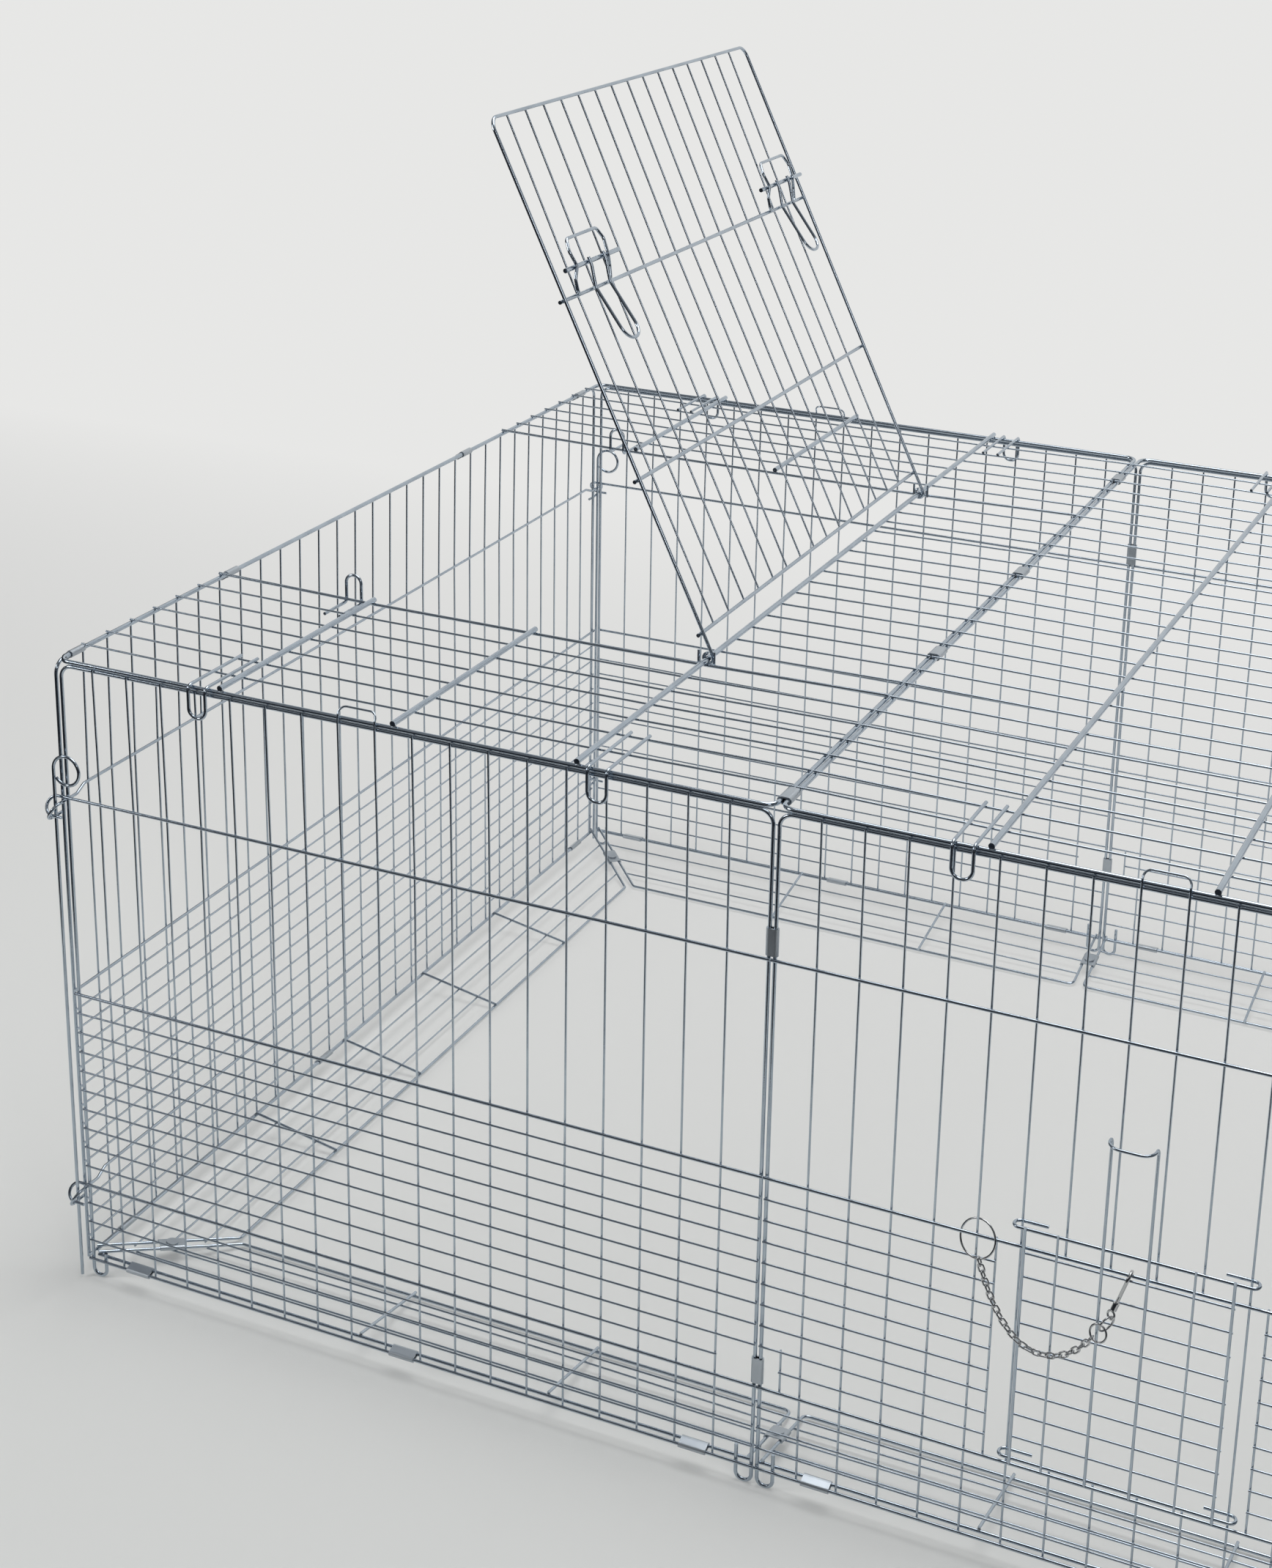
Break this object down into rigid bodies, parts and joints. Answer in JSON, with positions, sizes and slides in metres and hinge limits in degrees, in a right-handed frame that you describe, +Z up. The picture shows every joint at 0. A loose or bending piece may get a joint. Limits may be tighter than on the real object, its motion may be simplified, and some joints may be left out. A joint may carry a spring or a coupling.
{
  "type": "folding wire kennel run",
  "caption": "Rectangular wire-mesh run for small animals, with welded wall panels, a mesh roof with a hinged flap, a sliding door, corner pins and an inward skirt.",
  "frame": {"origin": "centre of the footprint, on the floor", "axes": "+X along the long walls to the right, +Y to the back, +Z up"},
  "size_m": [1.4696, 1.1815, 1.1471],
  "materials": {
    "zinc_wire": "bright zinc plated wire",
    "clip_steel": "bright plated sheet and chain"
  },
  "bodies": {
    "run": {"wall_front_left": "zinc_wire", "wall_front_right": "zinc_wire", "wall_back_left": "zinc_wire", "wall_back_right": "zinc_wire", "wall_left": "zinc_wire", "wall_right": "zinc_wire", "roof_left": "zinc_wire", "roof_right": "zinc_wire", "wall_joint_clips": "clip_steel", "roof_joint_clips": "clip_steel", "roof_edge_clips": "clip_steel", "skirt_clips": "clip_steel", "skirt_plates": "clip_steel", "skirt_front_left": "zinc_wire", "skirt_front_right": "zinc_wire", "skirt_back_left": "zinc_wire", "skirt_back_right": "zinc_wire", "skirt_left": "zinc_wire", "skirt_right": "zinc_wire", "split_ring": "clip_steel", "chain": "clip_steel", "chain_rings": "clip_steel", "snap_hook": "clip_steel"},
    "roof_flap": {"roof_flap": "zinc_wire", "flap_bolt_guides": "zinc_wire"},
    "front_bolt": {"flap_bolt_front": "zinc_wire"},
    "back_bolt": {"flap_bolt_back": "zinc_wire"},
    "sliding_door": {"sliding_door": "zinc_wire"},
    "pin_front_left": {"corner_pin_front_left": "zinc_wire"},
    "pin_front_right": {"corner_pin_front_right": "zinc_wire"},
    "pin_back_left": {"corner_pin_back_left": "zinc_wire"},
    "pin_back_right": {"corner_pin_back_right": "zinc_wire"}
  },
  "joints": [
    {"name": "roof_flap_hinge", "type": "hinge", "parent": "run", "child": "roof_flap", "pos_m": [-0.18181, 0, 0.66102], "axis": [0, 1, 0], "range_deg": [-64, 101]},
    {"name": "front_bolt_slide", "type": "slide", "parent": "roof_flap", "child": "front_bolt", "axis": [0, 1, 0], "range_m": [-0.023, 0]},
    {"name": "back_bolt_slide", "type": "slide", "parent": "roof_flap", "child": "back_bolt", "axis": [0, 1, 0], "range_m": [-0.0155, 0.0075]},
    {"name": "sliding_door_lift", "type": "slide", "parent": "run", "child": "sliding_door", "axis": [0, 0, 1], "range_m": [0, 0.18], "deforming": ["chain", "chain_rings", "snap_hook"]},
    {"name": "pin_front_left_lift", "type": "slide", "parent": "run", "child": "pin_front_left", "axis": [0, 0, 1], "range_m": [0, 0.4]},
    {"name": "pin_front_right_lift", "type": "slide", "parent": "run", "child": "pin_front_right", "axis": [0, 0, 1], "range_m": [0, 0.4]},
    {"name": "pin_back_left_lift", "type": "slide", "parent": "run", "child": "pin_back_left", "axis": [0, 0, 1], "range_m": [0, 0.4]},
    {"name": "pin_back_right_lift", "type": "slide", "parent": "run", "child": "pin_back_right", "axis": [0, 0, 1], "range_m": [0, 0.4]}
  ]
}
